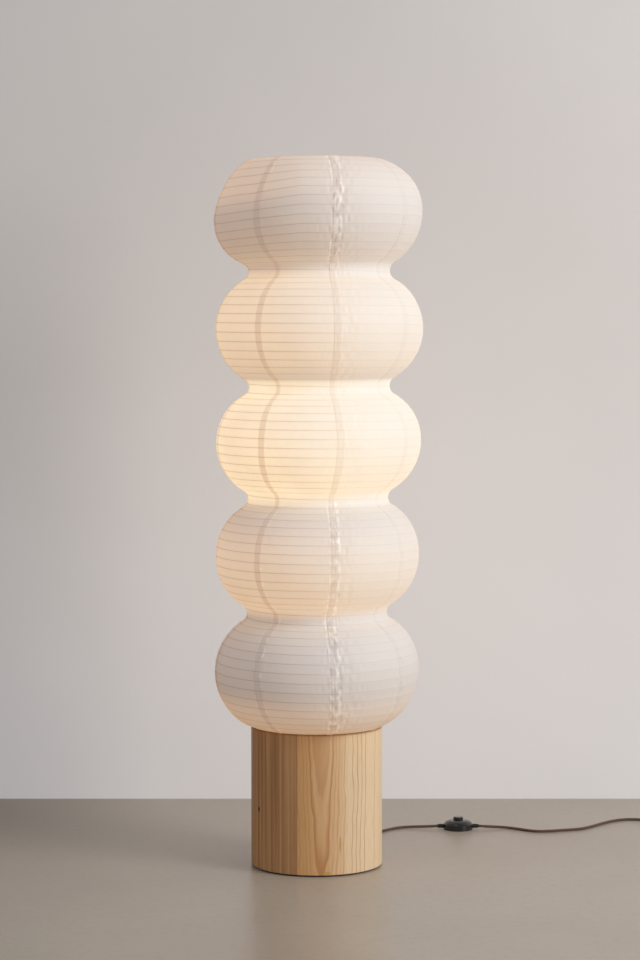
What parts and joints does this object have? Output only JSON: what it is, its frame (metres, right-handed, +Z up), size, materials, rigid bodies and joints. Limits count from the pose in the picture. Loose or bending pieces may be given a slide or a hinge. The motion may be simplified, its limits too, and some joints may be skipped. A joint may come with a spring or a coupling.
{
  "type": "floor lamp",
  "caption": "Tall paper lantern floor lamp: bubbles of ribbed white paper stacked over a round pine base, with a foot switch on its fabric cord.",
  "frame": {"origin": "centre of the underside of the foot pad, on the lamp's axis", "axes": "+Z up along the lamp's axis, -Y towards the front of the lamp, the cord leaves at the back, +Y"},
  "size_m": [0.9862, 0.6388, 1.3532],
  "materials": {
    "felt": "matte",
    "pine": "satin",
    "plywood": "matte",
    "zinc_steel": "satin",
    "iron": "matte",
    "clamp_plastic": "matte",
    "black_rubber": "matte",
    "cord_braid": "matte",
    "white_metal": "satin",
    "brass": "satin",
    "holder_black": "satin",
    "porcelain": "satin",
    "bulb_metal": "satin",
    "black_glass": "gloss",
    "bulb_plastic": "satin",
    "board_white": "matte",
    "opal_glass": "satin",
    "ring_steel": "satin",
    "rib_wire": "matte",
    "black_plastic": "satin",
    "contact_block": "matte",
    "spring_steel": "satin",
    "plug_plastic": "satin",
    "blade_metal": "polished",
    "paper": "matte"
  },
  "bodies": {
    "stand": {"ballast_bolts": "zinc_steel", "ballast_disc": "iron", "base_bottom_plate": "plywood", "base_drum": "pine", "base_top_plate": "plywood", "bottom_plate_screws": "zinc_steel", "cord_bushing": "black_rubber", "cord_clamp": "clamp_plastic", "cord_clamp_screws": "zinc_steel", "cord_coil": "cord_braid", "cord_from_switch": "cord_braid", "cord_to_switch": "cord_braid", "foot_pad": "felt", "frame_hub": "white_metal", "frame_nuts": "zinc_steel", "frame_saddle": "white_metal", "frame_uprights": "white_metal", "internal_lead": "cord_braid", "lampholder_cap": "holder_black", "lampholder_contact": "brass", "lampholder_insulator": "porcelain", "lampholder_shell": "holder_black", "lampholder_sleeve": "bulb_metal", "lock_nut": "zinc_steel", "plug_blades": "blade_metal", "plug_body": "plug_plastic", "pole_coupler": "white_metal", "pole_coupler_screws": "zinc_steel", "pole_flange": "white_metal", "pole_flange_screws": "zinc_steel", "pole_lower": "white_metal", "pole_top_bush": "brass", "pole_upper": "white_metal", "switch_base": "black_plastic", "switch_contact_block": "contact_block", "switch_cover": "black_plastic", "switch_reliefs": "black_rubber", "switch_screws": "zinc_steel", "switch_spring": "spring_steel", "threaded_nipple": "zinc_steel", "top_plate_screws": "zinc_steel"},
    "lantern": {"paper_gore_1": "paper", "paper_gore_2": "paper", "paper_gore_3": "paper", "paper_gore_4": "paper", "paper_gore_5": "paper", "paper_gore_6": "paper", "paper_gore_7": "paper", "paper_gore_8": "paper", "lantern_top_ring": "ring_steel", "lantern_bottom_ring": "ring_steel", "lantern_crossbar": "ring_steel", "rib_spiral": "rib_wire"},
    "bulb": {"bulb_globe": "opal_glass", "bulb_collar": "bulb_plastic", "bulb_cap": "bulb_metal", "bulb_contact": "zinc_steel", "bulb_tip_insulator": "black_glass", "bulb_led_board": "board_white"},
    "switch_button": {"switch_button": "black_plastic"}
  },
  "joints": [
    {"name": "lantern_lift", "type": "slide", "parent": "stand", "child": "lantern", "axis": [0, 0, 1], "range_m": [0, 1.1]},
    {"name": "bulb_unscrew", "type": "slide", "parent": "stand", "child": "bulb", "axis": [0, 0, 1], "range_m": [0, 0.03]},
    {"name": "button_press", "type": "slide", "parent": "stand", "child": "switch_button", "axis": [0, 0, -1], "range_m": [0, 0.003], "stiffness_N_per_m": 600, "springref_m": -0.002, "deforming": ["switch_spring"]}
  ]
}
